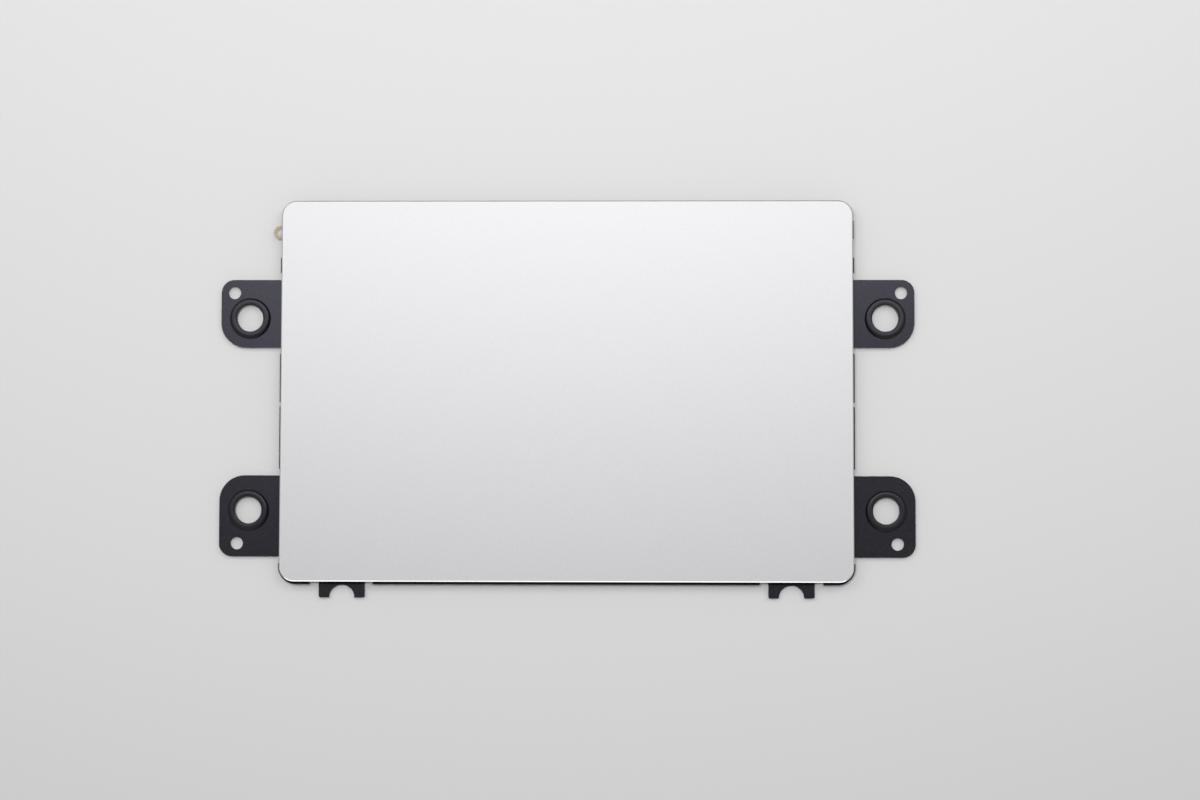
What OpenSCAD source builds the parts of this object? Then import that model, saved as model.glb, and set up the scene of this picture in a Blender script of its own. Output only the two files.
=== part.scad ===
// Laptop trackpad module: a satin touch plate that tilts on rear leaf springs inside a pressed
// steel tray, closes a dome switch at its front edge, and mounts by four ears with rubber grommets.
// Millimetres. +X right, +Y to the rear (hinge side), +Z up. The module stands on its grommets at Z = 0.

/* [Touch surface] */
// Width of the touch surface
pad_w = 120; // [110:1:140]
// Depth of the touch surface
pad_d = 80; // [74:1:96]
// Corner radius of the touch surface
pad_corner_r = 3.1; // [2:0.1:3.6]
// Thickness of the cover glass
glass_t = 0.7; // [0.5:0.05:1.1]
// Width of the bevel round the cover glass
glass_bevel = 0.2; // [0.1:0.02:0.3]

/* [Board stack] */
// Thickness of the bonding film under the glass
film_t = 0.1; // [0.05:0.05:0.2]
// Distance of the bonding film from the glass edge
film_inset = 0.6; // [0.4:0.1:2]
// Thickness of the sensor board
board_t = 0.8; // [0.6:0.1:1.2]
// Distance of the sensor board from the glass edge
board_inset = 0.3; // [0.2:0.05:1]
// How far the board's panel stub reaches past the glass edge
stub_reach = 0.22; // [0.1:0.02:0.4]
// Thickness of the stiffener plate
plate_t = 0.3; // [0.2:0.05:0.5]
// Distance of the stiffener plate from the glass edge
plate_inset = 1.2; // [0.8:0.1:2.4]

/* [Tray] */
// Thickness of the pressed sheet
sheet_t = 0.4; // [0.3:0.05:0.6]
// Gap between the front edge of the glass and the front wall
wall_gap = 0.15; // [0.1:0.05:0.4]
// How far the side walls stand in under the glass edge
side_lap = 0.08; // [0:0.01:0.14]
// Clearance between the walls and the pressed glass
wall_play = 0.12; // [0.05:0.01:0.3]
// Inside radius of the bend between floor and wall
bend_r = 0.3; // [0.2:0.05:0.5]
// Free height between the tray floor and the stiffener plate
plate_gap = 0.7; // [0.6:0.05:1]
// Distance of the tray floor from the rear edge of the glass
rear_inset = 0.6; // [0.4:0.1:1.2]
// Width of the bend relief beside each ear
ear_relief = 1.35; // [0.8:0.05:2]
// Width of the bend relief beside each fork
fork_relief = 1.75; // [0.8:0.05:2.4]
// Length of the short guide wall behind each rear ear
guide_len = 3.2; // [2:0.1:5]
// Place of the nick in the side walls, ahead of the surface's middle
nick_ahead = 2.9; // [0:0.1:6]
// Width of that nick
nick_w = 1; // [0.6:0.1:2]
// Width of the component window in the floor
window_w = 54; // [48:1:60]
// Depth of the component window in the floor
window_d = 14; // [13:0.2:16]
// Length of a stiffening bead
bead_len = 30; // [16:1:34]
// Width of a stiffening bead across its foot
bead_w = 3; // [2:0.1:4]
// Height of a stiffening bead
bead_h = 0.22; // [0.1:0.02:0.28]

/* [Ears] */
// Reach of the ears past the glass edge
ear_reach = 13.05; // [11.4:0.05:16]
// Width of a rear ear
rear_ear_w = 14.35; // [13:0.05:17]
// Distance of a rear ear from the rear edge of the glass
rear_ear_set = 16.5; // [14:0.1:19]
// Width of a front ear
front_ear_w = 17; // [15:0.1:19]
// Distance of a front ear from the front edge of the glass
front_ear_set = 5.2; // [4.6:0.1:8]
// Radius of the ear's corner beside the pin hole
ear_tight_r = 2.7; // [1:0.1:3.4]
// Radius of the ear's other outer corner
ear_wide_r = 5.3; // [2:0.1:6]
// Distance of the grommet's axis from the glass edge
grommet_out = 6.9; // [5.4:0.05:7.6]
// Distance of the rear grommet's axis from the ear's front side
rear_grommet_in = 6.18; // [5:0.02:7.2]
// Distance of the front grommet's axis from the ear's rear side
front_grommet_in = 7.3; // [5:0.05:8]
// Radius of the pin holes
pin_hole_r = 1.3; // [0.8:0.05:1.5]
// Distance of the rear pin hole from the ear's outer end
rear_pin_end = 2.8; // [2.4:0.05:3.2]
// Distance of the front pin hole from the ear's outer end
front_pin_end = 3.75; // [2.6:0.05:4.4]
// Distance of the pin holes from the ear's side
pin_side = 2.75; // [2.2:0.05:3]

/* [Grommets] */
// Radius of the grommet's bore
bore_r = 2.8; // [2:0.05:3]
// Radius of the grommet's flanges
flange_r = 4.3; // [4:0.05:4.8]
// Radius of the grommet's neck in the ear
neck_r = 3.45; // [3.2:0.05:3.7]
// Height of the grommet below the ear
foot_h = 0.9; // [0.8:0.05:1.4]
// Height of the grommet above the ear
cap_h = 0.8; // [0.5:0.05:1.2]
// Rounding of the grommet's foot and bore edges
grommet_round = 0.3; // [0.1:0.02:0.5]
// Rounding of the grommet's outer upper edge
cap_round = 0.65; // [0.2:0.05:0.9]
// Gap between the grommet's neck and the ear's hole
neck_gap = 0.05; // [0.02:0.01:0.1]

/* [Forks] */
// Width of a front fork
fork_w = 9.65; // [8.6:0.05:12]
// Distance of a fork's middle from the side edge of the glass
fork_in = 12.9; // [12:0.1:16]
// Reach of the forks past the front edge of the glass
fork_reach = 3.35; // [2.8:0.05:4]
// Radius of the fork's half-round notch
notch_r = 2.65; // [1.8:0.05:2.75]
// Radius of the coined seat round that notch
seat_r = 3.9; // [3:0.05:4.2]
// Depth of the coined seat
seat_depth = 0.06; // [0.02:0.01:0.12]

/* [Click] */
// Travel of the touch plate at the switch
click_travel = 0.25; // [0.15:0.01:0.28]
// Distance of the switch from the front edge of the glass
switch_set = 8; // [7.5:0.1:11]
// Side of the switch housing
switch_w = 5.2; // [4.6:0.1:6]
// Height of the switch below the board
switch_h = 0.7; // [0.66:0.02:0.8]
// Radius of the plunger's nub
nub_r = 0.9; // [0.6:0.05:1.2]
// Reach of the nub below the switch
nub_reach = 0.2; // [0.1:0.02:0.3]
// Radius of the set screw
screw_r = 1; // [0.7:0.05:1.3]
// Depth of the threaded boss below the floor
boss_h = 0.5; // [0.3:0.05:0.7]
// Distance of the leaf springs' middle from the side edge of the glass
leaf_in = 22; // [16:0.5:28]
// Width of a leaf spring
leaf_w = 16; // [12:0.5:20]
// Thickness of a leaf spring
leaf_t = 0.2; // [0.1:0.02:0.24]
// Free length of a leaf spring
leaf_free = 3.4; // [2.4:0.1:4]
// Length of each foot of a leaf spring
leaf_foot = 3.6; // [3:0.1:4]
// Distance of the limit pins from the side edge of the glass
limit_in = 36; // [33:0.5:44]

/* [Cable socket] */
// Number of contacts
contact_count = 8; // [4:1:10]
// Distance between contacts
contact_pitch = 0.5; // [0.4:0.05:0.6]
// Height of the socket below the board
socket_h = 1; // [0.9:0.05:1.2]
// Depth of the socket from tail side to mouth
socket_d = 3.2; // [2.8:0.1:3.8]
// Distance of the socket's middle from the middle of the module
socket_x = 13; // [8:0.5:18]

/* [Hidden] */
$fn = 64;
// Overshoot of a cut past the face that it opens
over = 0.5;

// Levels, from the standing plane up
floor_z = foot_h;
floor_top = floor_z + sheet_t;
plate_z = floor_top + plate_gap;
board_z = plate_z + plate_t;
film_z = board_z + board_t;
glass_z = film_z + film_t;

// Edges of the touch surface and of the flat tray floor inside the bends
side_x = pad_w / 2;
end_y = pad_d / 2;
floor_x = side_x - side_lap - bend_r;
floor_front = -end_y - wall_gap + bend_r;
floor_rear = end_y - rear_inset;
floor_corner_r = pad_corner_r + wall_gap - bend_r;
// Middle of the round front corner at the right
corner_x = floor_x - floor_corner_r;
corner_y = floor_front + floor_corner_r;
rear_corner_r = 2;
// How far the wall's section reaches back into the floor
wall_root = 0.5;

// Ears: sides, axes and holes
ear_x = side_x + ear_reach;
rear_ear_y1 = end_y - rear_ear_set;
rear_ear_y0 = rear_ear_y1 - rear_ear_w;
front_ear_y0 = -end_y + front_ear_set;
front_ear_y1 = front_ear_y0 + front_ear_w;
grommet_x = side_x + grommet_out;
rear_grommet_y = rear_ear_y0 + rear_grommet_in;
front_grommet_y = front_ear_y1 - front_grommet_in;
ear_hole_r = neck_r + neck_gap;

// Forks
fork_x = side_x - fork_in;
fork_end_r = 0.35;

// Component window, centred a little behind the middle
window_y = 6;
window_r = 1.5;
// Inward step from the tray's window to the stiffener's
window_step = 0.6;

// Switch, set screw and hinge
switch_y = -end_y + switch_set;
switch_bottom = board_z - switch_h;
nub_z = switch_bottom - nub_reach;
cover_t = 0.1;
roof_t = 0.1;
dome_t = 0.06;
// Height left over when the dome is pressed flat
dome_spare = 0.06;
dome_h = click_travel + dome_spare;
flange_play = 0.01;
flange_t = switch_h - cover_t - roof_t - dome_h - 2 * flange_play;
cavity_wall = 0.5;
cavity_r = switch_w / 2 - cavity_wall;
switch_corner_r = 0.4;
cavity_gap = 0.2;
cover_inset = 0.1;
cover_hole_gap = 0.2;
thread_gap = 0.02;
boss_wall = 1;
screw_recess = 0.05;
// Free play between the set screw and the nub
tip_gap = 0.02;
slot_w = 0.4;
slot_depth = 0.3;
switch_window_gap = 0.7;

// Leaf springs: the fixed foot lies on the floor, the moving foot under the stiffener
leaf_x = side_x - leaf_in;
leaf_rear_margin = 0.8;
leaf_foot_rear = floor_rear - leaf_rear_margin;
leaf_bend_rear = leaf_foot_rear - leaf_foot;
leaf_bend_front = leaf_bend_rear - leaf_free;
leaf_foot_front = leaf_bend_front - leaf_foot;
axis_y = (leaf_bend_rear + leaf_bend_front) / 2;
tray_rivet_y = leaf_foot_rear - leaf_foot / 2;
leaf_rivet_y = leaf_foot_front + leaf_foot / 2;
rivet_spread = leaf_w / 2;
rivet_r = 0.6;
rivet_head_r = 1.2;
rivet_head_h = 0.2;
rivet_gap = 0.03;
access_r = 1.8;

// How far the touch plate drops at a place when it is pressed
function drop_at(y) = click_travel * (axis_y - y) / (axis_y - switch_y);

// Height of the tray's walls, from the underside of the floor
wall_h = glass_z - drop_at(-end_y) - wall_play - floor_z;

// Stops at the front
stop_set = 3.6;
stop_y = -end_y + stop_set;
stop_in = 24;
stop_x = side_x - stop_in;
stop_w = 10;
stop_d = 2.4;
stop_r = 0.6;
stop_clear = 0.045;
stop_t = plate_gap - drop_at(stop_y) - stop_clear;
limit_x = side_x - limit_in;
limit_set = 5.5;
limit_y = -end_y + limit_set;
limit_r = 0.9;
limit_tenon_r = 0.6;
limit_head_r = 1.8;
limit_head_h = 0.35;
limit_play = 0.05;
limit_gap = 0.4;

// Stiffening beads
bead_in = 26;
bead_x = side_x - bead_in;
bead_set = 18;
bead_y = end_y - bead_set;
bead_slope = 0.3;

// Ground lug at the left rear corner, and the board's panel stub at the right one
lug_set = 6.5;
lug_y = end_y - lug_set;
lug_r = 1.4;
lug_hole_r = 0.85;
lug_t = 0.2;
lug_out = 0.55;
lug_tail = 5.4;
lug_tail_w = 2;
lug_gap = 0.4;
stub_set = 4.2;
stub_w = 3.8;

// Components on the underside of the board
chip_w = 6;
chip_h = 0.8;
chip_at = [-8, window_y];
memory_size = [3, 2, 0.6];
memory_at = [-18, window_y + 2.4];
regulator_size = [2.9, 1.6, 0.9];
regulator_at = [-18, window_y - 2];
regulator_lead_w = 0.4;
regulator_lead_t = 0.15;
regulator_lead_out = 0.6;
regulator_pitch = 0.95;
capacitor_size = [1, 0.5, 0.45];
capacitor_gap = 0.7;
resistor_size = [0.5, 1, 0.35];
resistor_count = 5;
resistor_pitch = 0.9;
resistor_out = 1.4;

// Cable socket: mouth to the rear, latch under the mouth
socket_y = window_y;
socket_cheek = 1;
slot_spare = 0.4;
pocket_spare = 0.6;
socket_slot_w = contact_count * contact_pitch + slot_spare;
pocket_w = socket_slot_w + pocket_spare;
socket_w = pocket_w + 2 * socket_cheek;
cable_slot_h = 0.3;
cable_slot_d = 2.2;
cable_roof = 0.2;
cable_slot_z = board_z - cable_roof - cable_slot_h;
socket_z = board_z - socket_h;
mouth_y = socket_y + socket_d / 2;
tail_y = socket_y - socket_d / 2;
latch_gap = 0.06;
latch_d = 1.2;
latch_t = cable_slot_z - socket_z - latch_gap;
latch_y = mouth_y - latch_d + latch_t / 2;
latch_z = socket_z + latch_t / 2;
latch_w = pocket_w - 2 * latch_gap;
trunnion_wall = 0.08;
trunnion_r = latch_t / 2 - trunnion_wall;
trunnion_len = 0.5;
trunnion_gap = 0.03;
tail_w = 0.2;
tail_t = 0.15;
tail_len = 0.8;
anchor_w = 0.6;
anchor_d = 1.6;
anchor_t = 0.15;

// Brings the module's middle over the origin, forks included
module place() {
    translate([0, fork_reach / 2, 0]) children();
}

// What lies outside a quarter circle at the origin's corner of a block
module corner_cut(r) {
    difference() {
        translate([-over, -over]) square(r + over);
        translate([r, r]) circle(r);
        translate([r, -2 * over]) square([r, r + 2 * over]);
        translate([-2 * over, r]) square([r + 2 * over, r]);
    }
}

// Rectangle between two corners, with its own radius at each corner, anticlockwise from the low one
module block_outline(low, high, radii) {
    corners = [low, [high[0], low[1]], high, [low[0], high[1]]];
    difference() {
        translate(low) square(high - low);
        for (i = [0:3])
            if (radii[i] > 0)
                translate(corners[i]) rotate(90 * i) corner_cut(radii[i]);
    }
}

// Rectangle about the origin with one corner radius
module rounded_rect(w, d, r) {
    block_outline([-w / 2, -d / 2], [w / 2, d / 2], [r, r, r, r]);
}

// Plate with round corners whose upper edge is bevelled all round
module bevelled_plate(w, d, r, t, bevel) {
    module section(half) {
        polygon([
            [-half, 0], [half, 0], [half, t - bevel],
            [half - bevel, t], [bevel - half, t], [-half, t - bevel]
        ]);
    }
    translate([r - w / 2, 0, 0]) rotate([90, 0, 90]) linear_extrude(w - 2 * r) section(d / 2);
    translate([0, d / 2 - r, 0]) rotate([90, 0, 0]) linear_extrude(d - 2 * r) section(w / 2);
    for (x = [-1, 1], y = [-1, 1])
        translate([x * (w / 2 - r), y * (d / 2 - r), 0]) {
            cylinder(r = r, h = t - bevel);
            translate([0, 0, t - bevel]) cylinder(r1 = r, r2 = r - bevel, h = bevel);
        }
}

// Both hands of what lies at the right
module both_sides() {
    children();
    mirror([1, 0, 0]) children();
}

// Pressed tray: flat floor with ears and forks, and a wall bent up along the sides and the front

// Section of the wall from the start of its bend outwards and from the floor's underside up, with a root
// that runs back into the floor
module wall_section() {
    difference() {
        block_outline([-wall_root, 0], [bend_r + sheet_t, wall_h], [0, bend_r + sheet_t, 0, 0]);
        block_outline([-wall_root - over, sheet_t], [bend_r, wall_h + over], [0, bend_r, 0, 0]);
    }
}

// Straight stretch of wall along +Y that faces +X
module wall_run(length) {
    rotate([90, 0, 0]) translate([0, 0, -length]) linear_extrude(length) wall_section();
}

module side_wall(y0, y1) {
    translate([floor_x, y0, floor_z]) wall_run(y1 - y0);
}

module front_wall(x0, x1) {
    translate([x0, floor_front, floor_z]) rotate(-90) wall_run(x1 - x0);
}

module corner_wall() {
    translate([corner_x, corner_y, floor_z])
        rotate(-90) rotate_extrude(angle = 90) translate([floor_corner_r, 0]) wall_section();
}

module tray_walls() {
    both_sides() {
        side_wall(rear_ear_y1 + ear_relief, rear_ear_y1 + ear_relief + guide_len);
        side_wall(nick_w / 2 - nick_ahead, rear_ear_y0 - ear_relief);
        side_wall(front_ear_y1 + ear_relief, -nick_w / 2 - nick_ahead);
        side_wall(corner_y, front_ear_y0 - ear_relief);
        corner_wall();
        front_wall(fork_x + fork_w / 2 + fork_relief, corner_x);
    }
    middle = fork_x - fork_w / 2 - fork_relief;
    front_wall(-middle, middle);
}

module ear_outlines() {
    root_x = floor_x - over;
    block_outline([root_x, rear_ear_y0], [ear_x, rear_ear_y1], [0, ear_wide_r, ear_tight_r, 0]);
    block_outline([root_x, front_ear_y0], [ear_x, front_ear_y1], [0, ear_tight_r, ear_wide_r, 0]);
}

module ear_holes() {
    translate([grommet_x, rear_grommet_y]) circle(ear_hole_r);
    translate([grommet_x, front_grommet_y]) circle(ear_hole_r);
    translate([ear_x - rear_pin_end, rear_ear_y1 - pin_side]) circle(pin_hole_r);
    translate([ear_x - front_pin_end, front_ear_y0 + pin_side]) circle(pin_hole_r);
}

module fork_outline() {
    difference() {
        block_outline([fork_x - fork_w / 2, -end_y - fork_reach], [fork_x + fork_w / 2, floor_front + over],
            [fork_end_r, fork_end_r, 0, 0]);
        translate([fork_x, -end_y - fork_reach]) circle(notch_r);
    }
}

module floor_outline() {
    difference() {
        union() {
            block_outline([-floor_x, floor_front], [floor_x, floor_rear],
                [floor_corner_r, floor_corner_r, rear_corner_r, rear_corner_r]);
            both_sides() {
                ear_outlines();
                fork_outline();
            }
        }
        both_sides() {
            ear_holes();
            translate([limit_x, limit_y]) circle(limit_r + limit_gap);
            for (x = [-1, 1]) {
                translate([leaf_x + x * rivet_spread / 2, tray_rivet_y]) circle(rivet_r + rivet_gap);
                translate([leaf_x + x * rivet_spread / 2, leaf_rivet_y]) circle(access_r);
            }
        }
        translate([0, window_y]) rounded_rect(window_w, window_d, window_r);
    }
}

// Long raised bead with sloping sides, its foot at Z = 0 and a root below that
module bead(length, w, h) {
    run = length - w;
    foot = w / 2;
    crest = foot - bead_slope;
    root = sheet_t / 2;
    translate([-run / 2, 0, 0]) rotate([90, 0, 90]) linear_extrude(run)
        polygon([[-foot, -root], [foot, -root], [foot, 0], [crest, h], [-crest, h], [-foot, 0]]);
    for (x = [-1, 1])
        translate([x * run / 2, 0, 0]) {
            translate([0, 0, -root]) cylinder(r = foot, h = root);
            cylinder(r1 = foot, r2 = crest, h = h);
        }
}

module support_tray() {
    // The bead's hollow below is narrower than its crest above by the slope of the sheet
    hollow_w = bead_w - bead_slope;
    color("#26262b") difference() {
        union() {
            translate([0, 0, floor_z]) linear_extrude(sheet_t) floor_outline();
            tray_walls();
            for (x = [-1, 1], y = [-1, 1])
                translate([x * bead_x, y * bead_y, floor_top]) bead(bead_len, bead_w, bead_h);
            translate([0, switch_y, floor_z - boss_h])
                cylinder(r = screw_r + boss_wall, h = boss_h + sheet_t / 2);
        }
        for (x = [-1, 1], y = [-1, 1])
            translate([x * bead_x, y * bead_y, floor_z]) bead(bead_len - bead_slope, hollow_w, bead_h);
        translate([0, switch_y, floor_z - boss_h - over])
            cylinder(r = screw_r + thread_gap, h = boss_h + sheet_t + 2 * over);
        for (x = [-1, 1])
            translate([x * fork_x, -end_y - fork_reach, floor_top - seat_depth])
                cylinder(r = seat_r, h = seat_depth + over);
    }
}

// Rubber grommet in an ear's hole: a round-edged ring with a groove for the sheet
module grommet(side, y) {
    least_lip = 0.05;
    cap_r = min(cap_round, cap_h - least_lip);
    color("#1b1c1f") translate([side * grommet_x, y, 0]) rotate_extrude() difference() {
        block_outline([bore_r, 0], [flange_r, floor_top + cap_h],
            [grommet_round, grommet_round, cap_r, grommet_round]);
        translate([neck_r, floor_z]) square([flange_r, sheet_t]);
    }
}

// Leaf spring: flat foot on the tray floor, sloping free length, flat foot under the stiffener
module hinge_leaf(side) {
    rise = plate_gap - leaf_t;
    color("silver") translate([side * leaf_x, 0, floor_top]) difference() {
        translate([-leaf_w / 2, 0, 0]) rotate([90, 0, 90]) linear_extrude(leaf_w)
            polygon([
                [leaf_foot_rear, 0], [leaf_foot_rear, leaf_t], [leaf_bend_rear, leaf_t],
                [leaf_bend_front, rise + leaf_t], [leaf_foot_front, rise + leaf_t],
                [leaf_foot_front, rise], [leaf_bend_front, rise], [leaf_bend_rear, 0]
            ]);
        for (x = [-1, 1], y = [tray_rivet_y, leaf_rivet_y])
            translate([x * rivet_spread / 2, y, -over])
                cylinder(r = rivet_r + rivet_gap, h = plate_gap + 2 * over);
    }
}

module at_rivets(y) {
    for (side = [-1, 1], x = [-1, 1])
        translate([side * leaf_x + x * rivet_spread / 2, y, 0]) children();
}

// Rivets through the leaf springs' fixed feet and the floor, headed on both sides
module tray_rivets() {
    color("#8c8c90") at_rivets(tray_rivet_y) {
        translate([0, 0, floor_z]) cylinder(r = rivet_r, h = sheet_t + leaf_t);
        translate([0, 0, floor_z - rivet_head_h]) cylinder(r = rivet_head_r, h = rivet_head_h);
        translate([0, 0, floor_top + leaf_t]) cylinder(r = rivet_head_r, h = rivet_head_h);
    }
}

// Rivets through the moving feet, flush in the stiffener
module leaf_rivets() {
    color("#8c8c90") at_rivets(leaf_rivet_y) {
        translate([0, 0, plate_z - leaf_t]) cylinder(r = rivet_r, h = leaf_t + plate_t);
        translate([0, 0, plate_z - leaf_t - rivet_head_h]) cylinder(r = rivet_head_r, h = rivet_head_h);
    }
}

// Foam pad on the floor that the pressed plate lands on
module stop_pad(side) {
    color("#3a3a3c") translate([side * stop_x, stop_y, floor_top])
        linear_extrude(stop_t) rounded_rect(stop_w, stop_d, stop_r);
}

// Set screw under the switch, slotted below
module click_screw() {
    foot = floor_z - boss_h + screw_recess;
    color("#b08d57") translate([0, switch_y, foot]) difference() {
        cylinder(r = screw_r, h = nub_z - tip_gap - foot);
        translate([-screw_r - over, -slot_w / 2, -over])
            cube([2 * (screw_r + over), slot_w, slot_depth + over]);
    }
}

// Touch plate: glass, film, board and stiffener

module touch_glass() {
    color("#d2d2d6") translate([0, 0, glass_z])
        bevelled_plate(pad_w, pad_d, pad_corner_r, glass_t, glass_bevel);
}

module bonding_film() {
    color("white") translate([0, 0, film_z]) linear_extrude(film_t)
        rounded_rect(pad_w - 2 * film_inset, pad_d - 2 * film_inset, pad_corner_r - film_inset);
}

module sensor_board() {
    color("#12201a") translate([0, 0, board_z]) linear_extrude(board_t) {
        rounded_rect(pad_w - 2 * board_inset, pad_d - 2 * board_inset, pad_corner_r - board_inset);
        translate([side_x - board_inset - over, end_y - stub_set - stub_w])
            square([board_inset + over + stub_reach, stub_w]);
    }
}

module stiffener_plate() {
    color("#a9abad") translate([0, 0, plate_z]) linear_extrude(plate_t) difference() {
        rounded_rect(pad_w - 2 * plate_inset, pad_d - 2 * plate_inset, pad_corner_r - plate_inset / 2);
        translate([0, window_y])
            rounded_rect(window_w - 2 * window_step, window_d - 2 * window_step, window_r);
        translate([0, switch_y])
            rounded_rect(switch_w + 2 * switch_window_gap, switch_w + 2 * switch_window_gap, window_r);
        translate([-side_x, lug_y - lug_tail_w / 2 - lug_gap])
            square([lug_tail - lug_out + lug_gap, lug_tail_w + 2 * lug_gap]);
        both_sides() {
            translate([limit_x, limit_y]) circle(limit_tenon_r + rivet_gap);
            for (x = [-1, 1])
                translate([leaf_x + x * rivet_spread / 2, leaf_rivet_y]) circle(rivet_r + rivet_gap);
        }
    }
}

// Headed pins under the stiffener that stop the plate from lifting
module limit_pins() {
    head_z = floor_z - limit_play - limit_head_h;
    color("#8c8c90") both_sides() translate([limit_x, limit_y, 0]) {
        translate([0, 0, plate_z]) cylinder(r = limit_tenon_r, h = plate_t);
        translate([0, 0, head_z]) cylinder(r = limit_r, h = plate_z - head_z);
        translate([0, 0, head_z]) cylinder(r = limit_head_r, h = limit_head_h);
    }
}

// Gilt ring tag that stands out past the left edge, with its tail under the board
module ground_lug() {
    color("#b59a5b") translate([-side_x - lug_out, lug_y, board_z - lug_t]) linear_extrude(lug_t)
        difference() {
            union() {
                circle(lug_r);
                translate([0, -lug_tail_w / 2]) square([lug_tail, lug_tail_w]);
            }
            circle(lug_hole_r);
        }
}

// Components under the board

// Block of a size whose top lies on the board's underside
module part_block(size, at) {
    translate([at[0] - size[0] / 2, at[1] - size[1] / 2, board_z - size[2]]) cube(size);
}

module touch_controller() {
    mark_r = 0.3;
    mark_out = chip_w / 2 - 0.9;
    mark_depth = 0.05;
    color("#1d1d1f") difference() {
        part_block([chip_w, chip_w, chip_h], chip_at);
        translate([chip_at[0] - mark_out, chip_at[1] + mark_out, board_z - chip_h - over])
            cylinder(r = mark_r, h = over + mark_depth);
    }
}

module memory_chip() {
    color("#1d1d1f") part_block(memory_size, memory_at);
}

// Small package with three leads on one side and two on the other
module voltage_regulator() {
    module lead(x, side) {
        half_d = regulator_size[1] / 2;
        y = side > 0 ? half_d - over : -half_d - regulator_lead_out;
        translate([regulator_at[0] + x - regulator_lead_w / 2, regulator_at[1] + y, 0])
            translate([0, 0, board_z - regulator_lead_t])
                cube([regulator_lead_w, regulator_lead_out + over, regulator_lead_t]);
    }
    color("#1d1d1f") {
        part_block(regulator_size, regulator_at);
        for (x = [-1, 0, 1]) lead(x * regulator_pitch, 1);
        for (x = [-1, 1]) lead(x * regulator_pitch, -1);
    }
}

// Chip capacitors in a row on each side of the controller
module capacitors() {
    row = 4;
    pitch = chip_w / row;
    out = chip_w / 2 + capacitor_gap + capacitor_size[1] / 2;
    color("#a58a68") for (i = [0:row - 1], side = [-1, 1])
        part_block(capacitor_size, [chip_at[0] + (i - (row - 1) / 2) * pitch, chip_at[1] + side * out]);
}

// Chip resistors in a row between the controller and the socket
module resistors() {
    color("#222226") for (i = [0:resistor_count - 1])
        part_block(resistor_size, [chip_at[0] + chip_w / 2 + resistor_out + i * resistor_pitch, chip_at[1]]);
}

// Cable socket with a flip latch

module cable_socket() {
    pocket_y = latch_y - latch_t / 2 - latch_gap;
    pivot_len = pocket_w + 2 * (trunnion_len + trunnion_gap);
    color("#d8d2c0") difference() {
        translate([socket_x - socket_w / 2, tail_y, socket_z]) cube([socket_w, socket_d, socket_h]);
        translate([socket_x - socket_slot_w / 2, mouth_y - cable_slot_d, cable_slot_z])
            cube([socket_slot_w, cable_slot_d + over, cable_slot_h]);
        translate([socket_x - pocket_w / 2, pocket_y, socket_z - over])
            cube([pocket_w, mouth_y - pocket_y + over, cable_slot_z - socket_z + over + cable_slot_h / 2]);
        translate([socket_x, latch_y, latch_z]) rotate([0, 90, 0])
            cylinder(r = trunnion_r + trunnion_gap, h = pivot_len, center = true);
    }
}

// Solder tails along the socket's front side
module socket_contacts() {
    first_x = socket_x - (contact_count - 1) / 2 * contact_pitch - tail_w / 2;
    color("#c9a44c") for (i = [0:contact_count - 1])
        translate([first_x + i * contact_pitch, tail_y - tail_len, board_z - tail_t])
            cube([tail_w, tail_len, tail_t]);
}

// Solder tabs that hold the socket's two ends
module socket_anchors() {
    color("#b9babd") for (side = [-1, 1])
        part_block([anchor_w, anchor_d, anchor_t], [socket_x + side * (socket_w + anchor_w) / 2, socket_y]);
}

// Flip latch: a bar that turns on trunnions in the socket's cheeks
module socket_latch() {
    bar_d = mouth_y - latch_y;
    color("#2a2623") translate([socket_x, latch_y, latch_z]) {
        rotate([0, 90, 0]) cylinder(r = latch_t / 2, h = latch_w, center = true);
        translate([-latch_w / 2, 0, -latch_t / 2]) cube([latch_w, bar_d, latch_t]);
        rotate([0, 90, 0]) cylinder(r = trunnion_r, h = pocket_w + 2 * trunnion_len, center = true);
    }
}

// Dome switch, plunger down

module switch_housing() {
    roof_z = board_z - roof_t;
    color("#2b2b2e") translate([0, switch_y, switch_bottom + cover_t]) difference() {
        linear_extrude(board_z - switch_bottom - cover_t) rounded_rect(switch_w, switch_w, switch_corner_r);
        translate([0, 0, -over]) cylinder(r = cavity_r, h = roof_z - switch_bottom - cover_t + over);
    }
}

// Snap dome: a shallow cap whose rim lies on the housing's roof
module switch_dome() {
    rim_r = cavity_r - cavity_gap;
    ball_r = (rim_r * rim_r + dome_h * dome_h) / (2 * dome_h);
    color("silver") translate([0, switch_y, board_z - roof_t]) rotate_extrude() intersection() {
        translate([0, ball_r - dome_h]) difference() {
            circle(ball_r, $fn = 360);
            circle(ball_r - dome_t, $fn = 360);
        }
        translate([0, -dome_h - over]) square([rim_r + over, dome_h + over]);
    }
}

module switch_cover() {
    cover_w = switch_w - 2 * cover_inset;
    color("#b9babd") translate([0, switch_y, switch_bottom]) linear_extrude(cover_t) difference() {
        rounded_rect(cover_w, cover_w, switch_corner_r);
        circle(nub_r + cover_hole_gap);
    }
}

// Plunger: nub through the cover, with a flange under the dome
module switch_plunger() {
    flange_z = switch_bottom + cover_t + flange_play;
    plunger_flange_r = (nub_r + cover_hole_gap + cavity_r) / 2;
    color("#e8e4da") translate([0, switch_y, 0]) {
        translate([0, 0, nub_z]) cylinder(r = nub_r, h = flange_z + flange_t - nub_z);
        translate([0, 0, flange_z]) cylinder(r = plunger_flange_r, h = flange_t);
    }
}

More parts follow.
